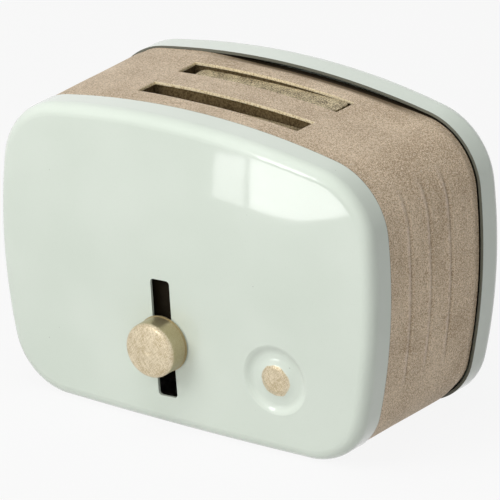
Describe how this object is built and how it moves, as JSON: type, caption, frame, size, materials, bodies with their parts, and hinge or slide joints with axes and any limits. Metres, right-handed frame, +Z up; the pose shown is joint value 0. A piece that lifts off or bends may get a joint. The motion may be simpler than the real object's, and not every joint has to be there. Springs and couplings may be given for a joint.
{
  "type": "toy toaster",
  "caption": "Small metal toy toaster with two bread slots, a sliding lever and a domed boss, enamelled covers round a gold band.",
  "frame": {"origin": "under the middle of the toy's overall length and depth, on the surface that it stands on", "axes": "+X along the toaster to the right as seen from the lever side, -Y towards the lever side, +Z up"},
  "size_m": [0.06, 0.0358, 0.0431],
  "materials": {
    "mint_enamel": "gloss",
    "champagne_paint": "matte metallic",
    "gold_paint": "satin",
    "dark_sheet": "matte",
    "plain_steel": "satin"
  },
  "bodies": {
    "casing": {"front_cover": "mint_enamel", "rear_cover": "mint_enamel", "casing_band": "champagne_paint", "base_plate": "plain_steel", "base_screws": "plain_steel", "tie_posts": "plain_steel", "cover_screws": "plain_steel", "bread_well_front": "plain_steel", "bread_well_rear": "plain_steel", "slider_guide_left": "dark_sheet", "slider_guide_right": "dark_sheet", "slot_baffle": "dark_sheet"},
    "lifter": {"bread_tray_front": "gold_paint", "bread_tray_rear": "gold_paint", "tray_rivets": "plain_steel", "lifter_bridge": "plain_steel", "slider_plate": "dark_sheet", "slider_rivets": "plain_steel", "lever_knob": "gold_paint", "knob_washer": "gold_paint", "lever_stem": "plain_steel", "spring_washer": "plain_steel", "stem_nut": "plain_steel"}
  },
  "joints": [
    {"name": "lever_slide", "type": "slide", "parent": "casing", "child": "lifter", "axis": [-0.0593, 0, 0.9982], "range_m": [-0.006, 0.0005]}
  ]
}
